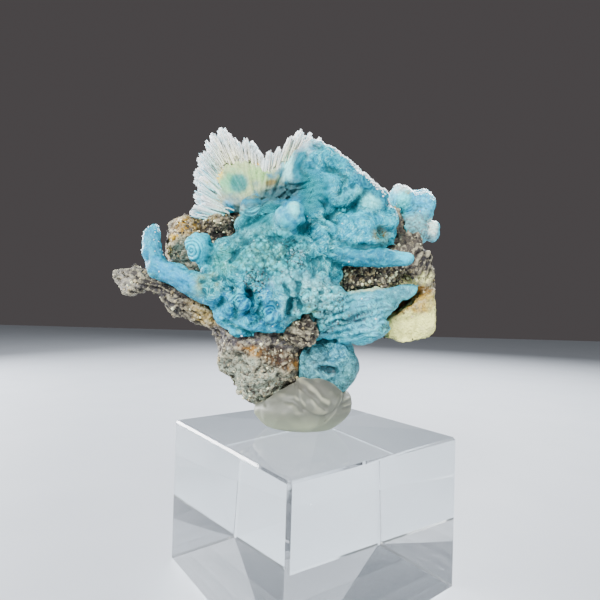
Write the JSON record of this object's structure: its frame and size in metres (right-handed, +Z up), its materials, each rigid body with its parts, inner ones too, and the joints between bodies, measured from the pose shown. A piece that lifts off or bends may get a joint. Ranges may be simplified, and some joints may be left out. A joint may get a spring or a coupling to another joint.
{
  "type": "mineral specimen on a display block",
  "caption": "Blue gibbsite grown as a grape-like crust with a fringe of needles on brown rock, held by putty on a clear block.",
  "frame": {"origin": "middle of the clear block's base", "axes": "+Z up, -Y out of the specimen's front; the block's sides are turned 37.7 degrees about Z from the row's axes"},
  "size_m": [0.068, 0.0554, 0.0892],
  "materials": {
    "acrylic": "polished, clear",
    "putty": "translucent, smooth, with pressed folds",
    "rock": "rough, granular, brown, grey and cream",
    "gibbsite": "waxy, banded sky blue and turquoise, white at the fringe",
    "pale_gibbsite": "waxy, pale blue to white",
    "teal_gibbsite": "waxy, teal"
  },
  "bodies": {
    "root": {"acrylic_block": "acrylic", "mounting_putty": "putty", "matrix_rock": "rock", "gibbsite_crust": "gibbsite", "gibbsite_knob": "pale_gibbsite", "gibbsite_lower_lobe": "teal_gibbsite"}
  },
  "joints": []
}
